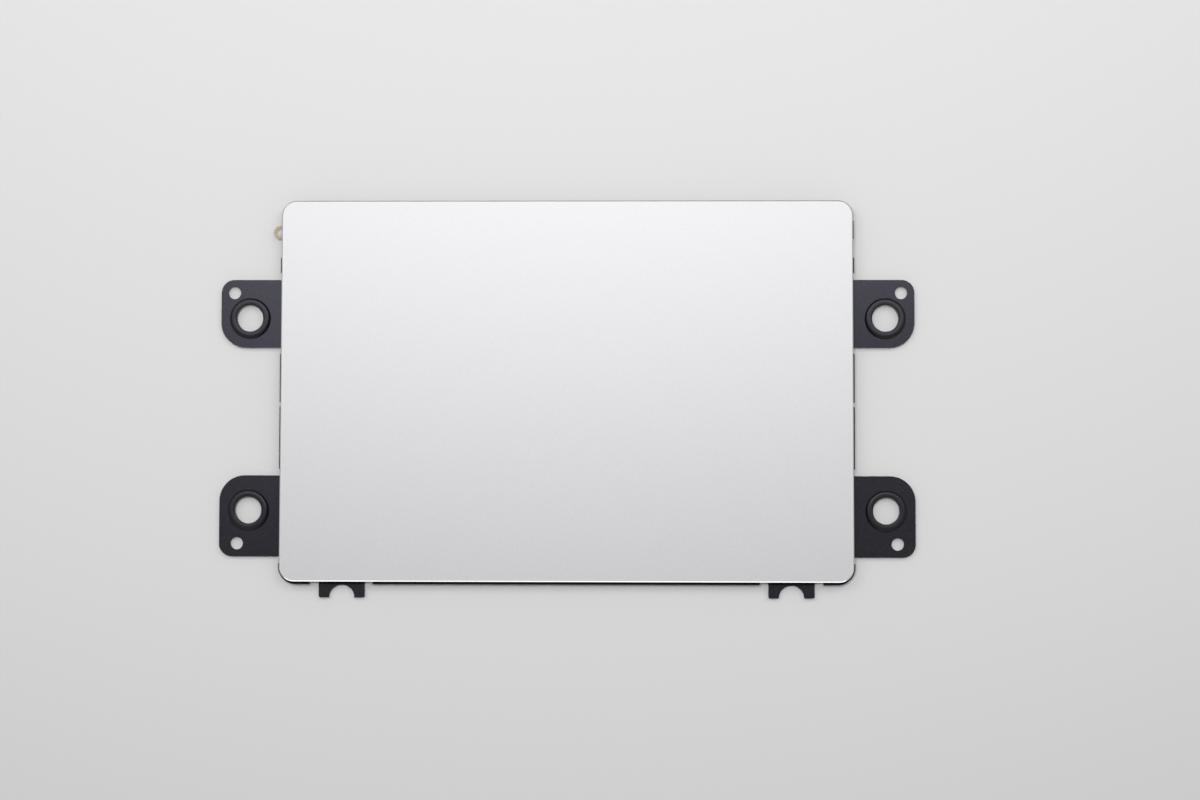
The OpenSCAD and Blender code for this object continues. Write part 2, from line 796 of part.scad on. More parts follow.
place() support_tray();
place() grommet(-1, rear_grommet_y);  // grommet_rear_left
place() grommet(1, rear_grommet_y);  // grommet_rear_right
place() grommet(-1, front_grommet_y);  // grommet_front_left
place() grommet(1, front_grommet_y);  // grommet_front_right
place() hinge_leaf(-1);  // hinge_leaf_left
place() hinge_leaf(1);  // hinge_leaf_right
place() tray_rivets();
place() stop_pad(-1);  // stop_pad_left
place() stop_pad(1);  // stop_pad_right
place() click_screw();
place() touch_glass();
place() bonding_film();
place() sensor_board();
place() stiffener_plate();
place() leaf_rivets();
place() limit_pins();
place() ground_lug();
place() touch_controller();
place() memory_chip();
place() voltage_regulator();
place() capacitors();
place() resistors();
place() cable_socket();
place() socket_contacts();
place() socket_anchors();
place() socket_latch();
place() switch_housing();
place() switch_dome();
place() switch_cover();
place() switch_plunger();
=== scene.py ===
"""Looks of the laptop trackpad module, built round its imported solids."""

import math

import bmesh
import bpy
from mathutils import Matrix, Vector


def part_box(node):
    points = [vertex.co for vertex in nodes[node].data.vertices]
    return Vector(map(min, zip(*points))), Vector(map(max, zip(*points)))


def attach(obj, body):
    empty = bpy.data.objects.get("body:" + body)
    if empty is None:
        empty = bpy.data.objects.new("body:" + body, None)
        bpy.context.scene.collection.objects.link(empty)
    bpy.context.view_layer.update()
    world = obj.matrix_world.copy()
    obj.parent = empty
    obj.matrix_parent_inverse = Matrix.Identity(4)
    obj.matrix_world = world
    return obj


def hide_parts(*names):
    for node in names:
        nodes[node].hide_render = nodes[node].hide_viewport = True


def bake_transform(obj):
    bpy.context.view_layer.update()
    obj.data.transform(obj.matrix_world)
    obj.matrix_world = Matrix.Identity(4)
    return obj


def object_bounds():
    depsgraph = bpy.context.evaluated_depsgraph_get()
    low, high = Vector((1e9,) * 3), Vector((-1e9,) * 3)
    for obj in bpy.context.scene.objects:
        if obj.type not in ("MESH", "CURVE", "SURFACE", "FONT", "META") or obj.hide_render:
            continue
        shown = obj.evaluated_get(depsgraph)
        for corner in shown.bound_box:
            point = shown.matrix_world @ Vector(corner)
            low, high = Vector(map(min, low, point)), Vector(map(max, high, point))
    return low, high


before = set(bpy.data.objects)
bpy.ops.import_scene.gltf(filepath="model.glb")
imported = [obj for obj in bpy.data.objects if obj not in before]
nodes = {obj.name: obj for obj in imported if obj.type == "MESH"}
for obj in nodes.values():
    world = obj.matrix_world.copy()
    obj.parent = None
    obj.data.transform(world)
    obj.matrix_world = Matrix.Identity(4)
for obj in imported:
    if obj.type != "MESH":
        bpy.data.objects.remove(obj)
cad_low, cad_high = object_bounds()

MM = 0.001
UP = Vector((0, 0, 1))


def mm(*values):
    """A point or a size in millimetres, as a vector in metres."""
    return Vector(values) * MM


# Camera, at the photograph's place and angle

LENS_MM = 72
SENSOR_MM = 36
CAMERA_AT = mm(17.3, -29.925, 504.9)
CAMERA_TURN = (3.38, 1.17, 0.05)


def set_camera():
    lens = bpy.data.cameras.new("camera")
    lens.lens = LENS_MM
    lens.sensor_width = SENSOR_MM
    lens.clip_start = 0.01
    camera = bpy.data.objects.new("camera", lens)
    turn = Matrix.Identity(3)
    for degrees, axis in zip(CAMERA_TURN, "XYZ"):
        turn = turn @ Matrix.Rotation(math.radians(degrees), 3, axis)
    camera.matrix_world = Matrix.Translation(CAMERA_AT) @ turn.to_4x4()
    bpy.context.scene.collection.objects.link(camera)
    bpy.context.scene.camera = camera


# Finishes: each is one procedural material in object space

# Place of the painted shade line beside the pad's edge, in mm outside the pad
SHADE_LINE_BESIDE_MM = 0.02
SHADE_LINE_AHEAD_MM = 0.25
PAINT_SPECULAR = 0.63


class Finish:
    """A Principled material whose patterns read object coordinates."""

    def __init__(self, name, color, roughness, metallic=0.0):
        self.material = bpy.data.materials.new(name)
        self.material.use_nodes = True
        self.tree = self.material.node_tree
        self.shader = self.tree.nodes["Principled BSDF"]
        self.set("Base Color", (*color, 1.0))
        self.set("Roughness", roughness)
        self.set("Metallic", metallic)
        self.place = self.add("ShaderNodeTexCoord").outputs["Object"]

    def add(self, kind, **settings):
        node = self.tree.nodes.new(kind)
        for key, value in settings.items():
            setattr(node, key, value)
        return node

    def set(self, socket, value):
        self.shader.inputs[socket].default_value = value
        return self

    def link(self, value, socket):
        self.tree.links.new(value, socket)

    def noise(self, size_mm, detail=2.0, stretch=(1, 1, 1)):
        """Cloudy pattern with features of about that size, drawn out along an axis by its stretch."""
        mapping = self.add("ShaderNodeMapping")
        mapping.inputs["Scale"].default_value = [1 / s for s in stretch]
        noise = self.add("ShaderNodeTexNoise")
        noise.inputs["Scale"].default_value = 1 / (size_mm * MM)
        noise.inputs["Detail"].default_value = detail
        self.link(self.place, mapping.inputs["Vector"])
        self.link(mapping.outputs["Vector"], noise.inputs["Vector"])
        return noise.outputs["Fac"]

    def cells(self, size_mm, feature="F1"):
        cells = self.add("ShaderNodeTexVoronoi", feature=feature)
        cells.inputs["Scale"].default_value = 1 / (size_mm * MM)
        self.link(self.place, cells.inputs["Vector"])
        return cells.outputs["Distance"]

    def spread(self, value, low, high, start=0.3, end=0.7):
        """Maps the middle of a pattern to a range."""
        spread = self.add("ShaderNodeMapRange")
        for key, number in (("From Min", start), ("From Max", end), ("To Min", low), ("To Max", high)):
            spread.inputs[key].default_value = number
        self.link(value, spread.inputs["Value"])
        return spread.outputs["Result"]

    def colors(self, value, dark, light, start=0.3, end=0.7):
        ramp = self.add("ShaderNodeValToRGB")
        first, last = ramp.color_ramp.elements
        first.position, first.color = start, (*dark, 1.0)
        last.position, last.color = end, (*light, 1.0)
        self.link(value, ramp.inputs["Fac"])
        return ramp.outputs["Color"]

    def tint(self, value, dark, light, start=0.3, end=0.7):
        self.link(self.colors(value, dark, light, start, end), self.shader.inputs["Base Color"])
        return self

    def polish(self, value, low, high):
        self.link(self.spread(value, low, high), self.shader.inputs["Roughness"])
        return self

    def relief(self, value, depth_mm, strength):
        bump = self.add("ShaderNodeBump")
        bump.inputs["Strength"].default_value = strength
        bump.inputs["Distance"].default_value = depth_mm * MM
        self.link(value, bump.inputs["Height"])
        self.link(bump.outputs["Normal"], self.shader.inputs["Normal"])
        return self


def satin_silver():
    f = Finish("satin_silver", (0.69, 0.69, 0.702), 0.51, metallic=1.0)
    grain = f.noise(0.22, detail=3)
    return f.tint(grain, (0.658, 0.658, 0.67), (0.722, 0.722, 0.734)).polish(grain, 0.48, 0.54).relief(
        f.noise(0.1, detail=1), 0.004, 0.12)


def polished_silver():
    f = Finish("polished_silver", (0.9, 0.9, 0.91), 0.14, metallic=1.0)
    cut = f.noise(0.06, detail=2)
    return f.tint(cut, (0.86, 0.86, 0.875), (0.93, 0.93, 0.935)).polish(cut, 0.1, 0.2)


def ground_edge():
    f = Finish("ground_edge", (0.62, 0.62, 0.635), 0.4, metallic=0.8)
    grind = f.noise(0.08, detail=3, stretch=(4, 4, 1))
    return f.tint(grind, (0.55, 0.55, 0.565), (0.68, 0.68, 0.695)).polish(grind, 0.32, 0.5)


def painted_shade_line(f):
    """Distance from a line that runs round the pad just outside its edge, along which the coat's shine is
    turned down to paint a shade line.
    """
    low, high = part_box("touch_glass")
    out = f.add("ShaderNodeSeparateXYZ")
    f.link(f.place, out.inputs["Vector"])

    def compute(operation, first, second):
        node = f.add("ShaderNodeMath", operation=operation)
        for socket, value in zip(node.inputs, (first, second)):
            if isinstance(value, float):
                socket.default_value = value
            else:
                f.link(value, socket)
        return node.outputs["Value"]

    beside = compute("SUBTRACT", compute("ABSOLUTE", out.outputs["X"], 0.0), high.x + SHADE_LINE_BESIDE_MM * MM)
    ahead = compute("SUBTRACT", low.y - SHADE_LINE_AHEAD_MM * MM, out.outputs["Y"])
    return compute("ABSOLUTE", compute("MAXIMUM", beside, ahead), 0.0)


def tray_paint():
    f = Finish("tray_paint", (0.0063, 0.0063, 0.0068), 0.24)
    peel = f.noise(0.35, detail=2)
    fine = f.noise(3.0, detail=3)
    f.tint(fine, (0.0056, 0.0056, 0.006), (0.007, 0.007, 0.0075))
    f.set("Specular IOR Level", PAINT_SPECULAR).set("Specular Tint", (0.8, 0.79, 1.0, 1.0))
    # painted shade: the coat's specular level drops to a dark band along the pad's edge, standing in for the
    # shadow there
    shade_line_shine = f.spread(painted_shade_line(f), 0.1, PAINT_SPECULAR, 0.28 * MM, 0.42 * MM)
    f.link(shade_line_shine, f.shader.inputs["Specular IOR Level"])
    return f.polish(peel, 0.21, 0.28).relief(peel, 0.004, 0.12)


def grommet_rubber():
    f = Finish("grommet_rubber", (0.005, 0.0055, 0.0062), 0.32)
    skin = f.noise(0.12, detail=3)
    f.set("Specular IOR Level", 0.52).set("Specular Tint", (0.86, 0.85, 1.0, 1.0))
    return f.tint(skin, (0.004, 0.004, 0.0045), (0.006, 0.006, 0.0067)).polish(skin, 0.27, 0.38).relief(
        skin, 0.008, 0.25)


def adhesive_film():
    f = Finish("adhesive_film", (0.78, 0.78, 0.75), 0.45)
    haze = f.noise(1.5, detail=3)
    return f.tint(haze, (0.72, 0.72, 0.68), (0.82, 0.82, 0.8)).polish(haze, 0.38, 0.52)


def board_mask():
    """Dark solder mask on the faces, with the sawn glass-fibre layers on the edges."""
    f = Finish("board_mask", (0.01, 0.014, 0.013), 0.36)
    weave = f.noise(0.5, detail=2)
    mask = f.colors(weave, (0.0085, 0.012, 0.0115), (0.013, 0.018, 0.017))
    layers = f.noise(0.09, detail=2, stretch=(30, 30, 1))
    fibre = f.colors(layers, (0.055, 0.05, 0.03), (0.13, 0.12, 0.075))
    facing = f.add("ShaderNodeSeparateXYZ")
    f.link(f.add("ShaderNodeNewGeometry").outputs["Normal"], facing.inputs["Vector"])
    flat = f.add("ShaderNodeMath", operation="ABSOLUTE")
    f.link(facing.outputs["Z"], flat.inputs[0])
    face = f.add("ShaderNodeMath", operation="GREATER_THAN")
    face.inputs[1].default_value = 0.7
    f.link(flat.outputs["Value"], face.inputs[0])
    both = f.add("ShaderNodeMix", data_type="RGBA")
    f.link(face.outputs["Value"], both.inputs["Factor"])
    f.link(fibre, both.inputs["A"])
    f.link(mask, both.inputs["B"])
    f.link(both.outputs["Result"], f.shader.inputs["Base Color"])
    return f.polish(weave, 0.3, 0.42).relief(weave, 0.004, 0.15)


def masked_copper():
    f = Finish("masked_copper", (0.036, 0.054, 0.046), 0.32)
    weave = f.noise(0.4, detail=2)
    return f.tint(weave, (0.03, 0.046, 0.039), (0.043, 0.063, 0.054)).polish(weave, 0.26, 0.38)


def rolled_steel():
    f = Finish("rolled_steel", (0.56, 0.57, 0.58), 0.34, metallic=1.0)
    lines = f.noise(0.12, detail=3, stretch=(40, 1, 1))
    return f.tint(lines, (0.5, 0.51, 0.52), (0.62, 0.63, 0.64)).polish(lines, 0.27, 0.43).relief(
        lines, 0.002, 0.15)


def spring_steel():
    f = Finish("spring_steel", (0.62, 0.61, 0.59), 0.26, metallic=1.0)
    lines = f.noise(0.06, detail=2, stretch=(1, 30, 1))
    return f.tint(lines, (0.56, 0.55, 0.53), (0.68, 0.67, 0.65)).polish(lines, 0.2, 0.34)


def plated_rivet():
    f = Finish("plated_rivet", (0.5, 0.5, 0.52), 0.34, metallic=1.0)
    blotch = f.noise(0.25, detail=3)
    return f.tint(blotch, (0.43, 0.43, 0.45), (0.56, 0.56, 0.58)).polish(blotch, 0.27, 0.42)


def stop_foam():
    f = Finish("stop_foam", (0.05, 0.05, 0.053), 0.85)
    pores = f.cells(0.09)
    f.set("Specular IOR Level", 0.25)
    return f.tint(pores, (0.022, 0.022, 0.024), (0.068, 0.068, 0.071), 0.1, 0.6).relief(pores, 0.03, 0.5)


def turned_brass():
    f = Finish("turned_brass", (0.66, 0.49, 0.24), 0.3, metallic=1.0)
    rings = f.noise(0.08, detail=2, stretch=(1, 1, 0.5))
    return f.tint(rings, (0.58, 0.42, 0.2), (0.72, 0.55, 0.29)).polish(rings, 0.24, 0.38)


def gilt():
    f = Finish("gilt", (0.37, 0.315, 0.215), 0.42, metallic=1.0)
    blotch = f.noise(0.3, detail=3)
    return f.tint(blotch, (0.31, 0.262, 0.175), (0.42, 0.36, 0.25)).polish(blotch, 0.36, 0.5)


def moulded_chip():
    f = Finish("moulded_chip", (0.018, 0.018, 0.019), 0.6)
    grit = f.noise(0.06, detail=3)
    return f.tint(grit, (0.013, 0.013, 0.014), (0.024, 0.024, 0.025)).polish(grit, 0.5, 0.7).relief(
        grit, 0.004, 0.3)


def ceramic_tan():
    f = Finish("ceramic_tan", (0.36, 0.24, 0.14), 0.5)
    speck = f.noise(0.08, detail=3)
    return f.tint(speck, (0.3, 0.195, 0.11), (0.42, 0.29, 0.18)).polish(speck, 0.42, 0.6)


def glazed_dark():
    f = Finish("glazed_dark", (0.014, 0.014, 0.016), 0.3)
    speck = f.noise(0.07, detail=2)
    return f.tint(speck, (0.01, 0.01, 0.012), (0.02, 0.02, 0.023)).polish(speck, 0.22, 0.4)


def nylon(name, color, roughness):
    f = Finish(name, color, roughness)
    skin = f.noise(0.1, detail=3)
    f.tint(skin, [0.88 * c for c in color], [1.08 * c for c in color])
    return f.polish(skin, roughness - 0.07, roughness + 0.08).relief(skin, 0.004, 0.2)


def contact_gold():
    f = Finish("contact_gold", (0.72, 0.54, 0.2), 0.22, metallic=1.0)
    blotch = f.noise(0.1, detail=2)
    return f.tint(blotch, (0.64, 0.47, 0.17), (0.78, 0.6, 0.26)).polish(blotch, 0.17, 0.3)


def dull_tin():
    f = Finish("dull_tin", (0.66, 0.66, 0.67), 0.36, metallic=1.0)
    blotch = f.noise(0.14, detail=3)
    return f.tint(blotch, (0.57, 0.57, 0.58), (0.73, 0.73, 0.74)).polish(blotch, 0.28, 0.46)


SILVER = satin_silver().material
RIM = polished_silver().material
EDGE = ground_edge().material
PAINT = tray_paint().material
RUBBER = grommet_rubber().material
FILM = adhesive_film().material
MASK = board_mask().material
TRACE = masked_copper().material
STEEL = rolled_steel().material
SPRING = spring_steel().material
RIVET = plated_rivet().material
FOAM = stop_foam().material
BRASS = turned_brass().material
GILT = gilt().material
CHIP = moulded_chip().material
CERAMIC = ceramic_tan().material
GLAZE = glazed_dark().material
IVORY = nylon("socket_nylon", (0.62, 0.57, 0.43), 0.42).material
LATCH = nylon("latch_nylon", (0.022, 0.018, 0.016), 0.4).material
SWITCH = nylon("switch_nylon", (0.016, 0.016, 0.018), 0.45).material
PLUNGER = nylon("plunger_nylon", (0.66, 0.63, 0.55), 0.4).material
GOLD = contact_gold().material
TIN = dull_tin().material


# Making pieces

def block(low, high):
    """Box between two corners."""
    bm = bmesh.new()
    bmesh.ops.create_cube(bm, size=1.0)
    bmesh.ops.scale(bm, vec=high - low, verts=bm.verts)
    bmesh.ops.translate(bm, vec=(low + high) / 2, verts=bm.verts)
    return bm


def round_off(bm, edges, width_mm, segments):
    bmesh.ops.bevel(bm, geom=edges, offset=width_mm * MM, offset_type="OFFSET", affect="EDGES",
                    segments=segments, profile=0.5, material=-1, clamp_overlap=True)


def upright(bm):
    """Edges that stand along Z."""
    return [e for e in bm.edges if abs((e.verts[0].co - e.verts[1].co).normalized().z) > 0.99]


def outline_at(bm, z):
    """Edges that lie at a height between a flat face and a wall."""
    near = 1e-7
    return [e for e in bm.edges if all(abs(v.co.z - z) < near for v in e.verts)
            and len(e.link_faces) == 2 and e.calc_face_angle() > 0.5]


def turned(profile_mm, at, closed=False, steps=72):
    """Solid of revolution about the upright axis through a point, from radii and heights."""
    bm = bmesh.new()
    line = [bm.verts.new(at + mm(r, 0, z)) for r, z in profile_mm]
    ends = line + line[:1] if closed else line
    edges = [bm.edges.new(pair) for pair in zip(ends, ends[1:])]
    bmesh.ops.spin(bm, geom=line + edges, cent=at, axis=UP, angle=2 * math.pi, steps=steps, use_merge=True)
    bmesh.ops.remove_doubles(bm, verts=bm.verts, dist=1e-7)
    bmesh.ops.recalc_face_normals(bm, faces=bm.faces)
    return bm


def round_ring(bm, at, radius_mm, z_mm, width_mm, segments):
    """Rounds the ring of a turned piece that lies at a radius and a height."""
    near = 1e-6

    def on_ring(v):
        out = v.co - at
        return abs(out.xy.length - radius_mm * MM) < near and abs(out.z - z_mm * MM) < near

    round_off(bm, [e for e in bm.edges if all(on_ring(v) for v in e.verts)], width_mm, segments)


def strip(line, x_low, x_high, thick_mm, bend_mm, segments):
    """Sheet bent along a line of Y and Z places, between two X places, with its middle on the line."""
    bm = bmesh.new()
    verts = [bm.verts.new((x_low, y, z)) for y, z in line]
    edges = [bm.edges.new(pair) for pair in zip(verts, verts[1:])]
    grown = bmesh.ops.extrude_edge_only(bm, edges=edges)["geom"]
    ends = [v for v in grown if isinstance(v, bmesh.types.BMVert)]
    bmesh.ops.translate(bm, vec=(x_high - x_low, 0, 0), verts=ends)
    round_off(bm, [e for e in bm.edges if len(e.link_faces) == 2], bend_mm, segments)
    bmesh.ops.solidify(bm, geom=bm.faces[:], thickness=thick_mm * MM)
    bmesh.ops.recalc_face_normals(bm, faces=bm.faces)
    heights = [v.co.z for v in bm.verts]
    wanted = (min(z for y, z in line) + max(z for y, z in line)) / 2
    bmesh.ops.translate(bm, vec=(0, 0, wanted - (min(heights) + max(heights)) / 2), verts=bm.verts)
    return bm


def track(points, width, z_low, z_high):
    """Flat conductor along a line of X and Y places."""
    bm = bmesh.new()
    rows = []
    for i, at in enumerate(points):
        before, after = points[max(i - 1, 0)], points[min(i + 1, len(points) - 1)]
        ways = [(q - p).normalized() for p, q in ((before, at), (at, after)) if p != q]
        way = sum(ways, Vector((0, 0))).normalized()
        side = Vector((-way.y, way.x)) * width / 2 / max(way.dot(ways[0]), 0.5)
        rows.append([bm.verts.new((*(at + s * side), z_high)) for s in (1, -1)])
    faces = [bm.faces.new((a[0], a[1], b[1], b[0])) for a, b in zip(rows, rows[1:])]
    grown = bmesh.ops.extrude_face_region(bm, geom=faces)["geom"]
    ends = [v for v in grown if isinstance(v, bmesh.types.BMVert)]
    bmesh.ops.translate(bm, vec=(0, 0, z_low - z_high), verts=ends)
    bmesh.ops.recalc_face_normals(bm, faces=bm.faces)
    return bm


def join(shapes):
    """Several shapes as one."""
    whole = bmesh.new()
    for bm in shapes:
        part = bpy.data.meshes.new("part")
        bm.to_mesh(part)
        bm.free()
        whole.from_mesh(part)
        bpy.data.meshes.remove(part)
    return whole


def add_piece(name, bm, finishes, body, slot, *replaced, sharp=35):
    """Makes a shape a piece that rides on a body and takes the place of solids."""
    mesh = bpy.data.meshes.new(name)
    bm.to_mesh(mesh)
    bm.free()
    for finish in finishes:
        mesh.materials.append(finish)
    mesh.shade_smooth()
    mesh.set_sharp_from_angle(angle=math.radians(sharp))
    piece = bpy.data.objects.new(name, mesh)
    bpy.context.scene.collection.objects.link(piece)
    if body:
        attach(piece, body)
    if replaced:
        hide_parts(*replaced)
    return piece


def dress(node, finish, edge_mm=0.0, segments=2):
    """Gives a solid its finish, and softens its edges."""
    piece = nodes[node]
    piece.data.materials.clear()
    piece.data.materials.append(finish)
    if not edge_mm:
        return
    weld = piece.modifiers.new("weld", "WELD")
    weld.merge_threshold = 1e-6
    flat = piece.modifiers.new("flat_faces", "DECIMATE")
    flat.decimate_type = "DISSOLVE"
    flat.angle_limit = math.radians(0.5)
    soft = piece.modifiers.new("soft_edges", "BEVEL")
    soft.width = edge_mm * MM
    soft.segments = segments
    soft.limit_method = "ANGLE"
    soft.angle_limit = math.radians(40)
    shade = piece.modifiers.new("even_shade", "WEIGHTED_NORMAL")
    shade.keep_sharp = True


# Touch surface

GLASS_CORNER_MM = 3.1
GLASS_BEVEL_MM = 0.2
GLASS_BEVEL_LIFT_MM = 0.03


def make_touch_surface():
    low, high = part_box("touch_glass")
    bm = block(low, high)
    round_off(bm, upright(bm), GLASS_CORNER_MM, 16)
    round_off(bm, outline_at(bm, high.z), GLASS_BEVEL_MM, 1)
    foot = [v for v in bm.verts if abs(v.co.z - high.z + GLASS_BEVEL_MM * MM) < 1e-7]
    bmesh.ops.translate(bm, vec=mm(0, 0, GLASS_BEVEL_LIFT_MM), verts=foot)
    round_off(bm, outline_at(bm, low.z), 0.05, 1)
    top, rim, edge = 0, 1, 2
    for face in bm.faces:
        lean = abs(face.normal.z)
        face.material_index = top if lean > 0.99 else rim if lean > 0.1 else edge
    finishes = [SILVER, RIM, EDGE]
    add_piece("touch_surface", bm, finishes, "touch_plate", "touch_silver", "touch_glass", sharp=25)


# Grommets

def make_grommet(node):
    low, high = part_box(node)
    at = Vector(((low.x + high.x) / 2, (low.y + high.y) / 2, low.z))
    bore, neck, flange = 2.8, 3.45, (high.x - low.x) / 2 / MM
    sheet_low, sheet_high, top = 0.9, 1.3, (high.z - low.z) / MM
    bm = turned([(bore, 0), (flange, 0), (flange, sheet_low), (neck, sheet_low), (neck, sheet_high),
                 (flange, sheet_high), (flange, top), (bore, top)], at, closed=True, steps=96)
    round_ring(bm, at, bore, 0, 0.3, 5)
    round_ring(bm, at, flange, 0, 0.3, 5)
    round_ring(bm, at, flange, top, 0.65, 9)
    round_ring(bm, at, bore, top, 0.3, 6)
    round_ring(bm, at, flange, sheet_low, 0.08, 3)
    round_ring(bm, at, flange, sheet_high, 0.08, 3)
    add_piece(node + "_ring", bm, [RUBBER], "frame", "grommet_rubber", node, sharp=50)


# Leaf springs and rivets

LEAF_FOOT_MM = 3.6
LEAF_T_MM = 0.2


def make_leaf(side):
    node = "hinge_leaf_" + side
    low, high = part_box(node)
    foot, half = LEAF_FOOT_MM * MM, LEAF_T_MM * MM / 2
    rear_bend, front_bend = high.y - foot, low.y + foot
    foot_z, head_z = low.z + half, high.z - half
    line = [(high.y, foot_z), (rear_bend, foot_z), (front_bend, head_z), (low.y, head_z)]
    bm = strip(line, low.x, high.x, LEAF_T_MM, 0.9, 8)
    leaf = add_piece(node + "_strip", bm, [SPRING], None, "spring_steel", node)
    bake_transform(leaf)


def solids_of(node):
    """Middles of the separate round solids of a node, from its own mesh."""
    mesh = nodes[node].data
    bm = bmesh.new()
    bm.from_mesh(mesh)
    bmesh.ops.remove_doubles(bm, verts=bm.verts, dist=1e-6)
    left, middles = set(bm.verts), []
    while left:
        group, reach = set(), [left.pop()]
        while reach:
            v = reach.pop()
            group.add(v)
            near = {e.other_vert(v) for e in v.link_edges} & left
            left -= near
            reach += near
        xs, ys = [v.co.x for v in group], [v.co.y for v in group]
        middles.append(Vector(((min(xs) + max(xs)) / 2, (min(ys) + max(ys)) / 2, 0)))
    bm.free()
    return sorted(middles, key=tuple)


RIVET_SHANK_MM = 0.6
RIVET_HEAD_MM = [(0, 0), (0.7, 0), (1.2, 0.13), (1.2, 0.2), (RIVET_SHANK_MM, 0.2)]


def make_rivets(node, name, body, two_heads):
    """Rivets with a head below, or with one at each end."""
    low, high = (p.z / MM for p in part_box(node))
    lower = [(r, low + z) for r, z in RIVET_HEAD_MM]
    upper = [(RIVET_SHANK_MM, high), (0, high)]
    rims = lower[1:3]
    if two_heads:
        upper = [(r, high - z) for r, z in reversed(RIVET_HEAD_MM)]
        rims = rims + upper[2:4]
    rivets = []
    for at in solids_of(node):
        bm = turned(lower + upper, at)
        for radius, z in rims:
            round_ring(bm, at, radius, z, 0.08, 3)
        rivets.append(bm)
    add_piece(name, join(rivets), [RIVET], body, "rivet_steel", node)


def make_limit_pins():
    low, high = (p.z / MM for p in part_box("limit_pins"))
    head, shank, tenon = 1.8, 0.9, 0.6
    head_top, shoulder = low + 0.35, 2.0
    pins = []
    for at in solids_of("limit_pins"):
        bm = turned([(0, low), (head, low), (head, head_top), (shank, head_top), (shank, shoulder),
                     (tenon, shoulder), (tenon, high), (0, high)], at)
        round_ring(bm, at, head, low, 0.14, 4)
        round_ring(bm, at, head, head_top, 0.05, 2)
        pins.append(bm)
    add_piece("limit_pin_set", join(pins), [RIVET], "touch_plate", "rivet_steel", "limit_pins")


def make_stop_pad(side):
    node = "stop_pad_" + side
    low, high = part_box(node)
    bm = block(low, high)
    round_off(bm, upright(bm), 0.6, 6)
    round_off(bm, outline_at(bm, high.z), 0.08, 3)
    pad = add_piece(node + "_foam", bm, [FOAM], "frame", "stop_foam", node)


# Snap dome of the switch

DOME_T_MM = 0.06
DOME_STEPS = 12


def make_dome():
    """Cap whose rim sits on the switch's roof, made as a thin spherical shell in its resting shape."""
    low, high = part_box("switch_dome")
    at = Vector(((low.x + high.x) / 2, (low.y + high.y) / 2, low.z))
    rim, rise = (high.x - low.x) / 2 / MM, (high.z - low.z) / MM
    ball = (rim ** 2 + rise ** 2) / (2 * rise)

    def arc(radius):
        widest = math.acos((ball - rise) / radius)
        turns = [widest * i / DOME_STEPS for i in range(DOME_STEPS + 1)]
        return [(radius * math.sin(a), ball - radius * math.cos(a)) for a in turns]

    bm = turned(arc(ball) + arc(ball - DOME_T_MM)[::-1], at)
    dome = add_piece("switch_dome_cap", bm, [SPRING], None, "spring_steel", "switch_dome")
    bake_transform(dome)


# Components under the board

def make_end_capped(node, name, along_x, body_finish, slot):
    """Chip capacitors or resistors: a body between two tinned end caps."""
    low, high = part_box(node)
    size = mm(1, 0.5, 0) if along_x else mm(0.5, 1, 0)
    cap, inset = 0.24 * MM, 0.015 * MM
    bodies, ends = [], []
    for at in solids_of(node):
        a, b = at - size / 2, at + size / 2
        a.z, b.z = low.z, high.z
        run = 0 if along_x else 1
        inner_a, inner_b = a.copy(), b.copy()
        inner_a[1 - run] += inset
        inner_b[1 - run] -= inset
        inner_a[run] += cap / 2
        inner_b[run] -= cap / 2
        inner_a.z += inset
        bm = block(inner_a, inner_b)
        round_off(bm, bm.edges[:], 0.02, 2)
        bodies.append(bm)
        for start in (a[run], b[run] - cap):
            end_a, end_b = a.copy(), b.copy()
            end_a[run], end_b[run] = start, start + cap
            bm = block(end_a, end_b)
            round_off(bm, bm.edges[:], 0.035, 3)
            ends.append(bm)
    add_piece(name + "_bodies", join(bodies), [body_finish], "touch_plate", slot, node)
    add_piece(name + "_ends", join(ends), [TIN], "touch_plate", "tinned_metal")


def foot_terminals(node, count, pitch, width, sides):
    """Solder ends of the terminals round the foot of a flat package."""
    low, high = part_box(node)
    middle, half = (low + high) / 2, (high - low) / 2
    tall, proud, inside = 0.18 * MM, 0.03 * MM, 0.1 * MM
    ends = []
    for side in sides:
        turn = Matrix.Rotation(side * math.pi / 2, 3, "Z")
        reach = half.y if side % 2 else half.x
        for i in range(count):
            slide = (i - (count - 1) / 2) * pitch * MM
            a = Vector((reach - inside, slide - width / 2 * MM, high.z - tall))
            bm = block(a, Vector((reach + proud, slide + width / 2 * MM, high.z)))
            bmesh.ops.rotate(bm, cent=(0, 0, 0), matrix=turn, verts=bm.verts)
            bmesh.ops.translate(bm, vec=(middle.x, middle.y, 0), verts=bm.verts)
            ends.append(bm)
    return ends


def make_package_terminals():
    ends = foot_terminals("touch_controller", 12, 0.4, 0.2, range(4))
    add_piece("controller_terminals", join(ends), [TIN], "touch_plate", "tinned_metal")
    ends = foot_terminals("memory_chip", 4, 0.65, 0.3, (1, 3))
    add_piece("memory_terminals", join(ends), [TIN], "touch_plate", "tinned_metal")


REGULATOR_D_MM = 1.6
REGULATOR_PITCH_MM = 0.95


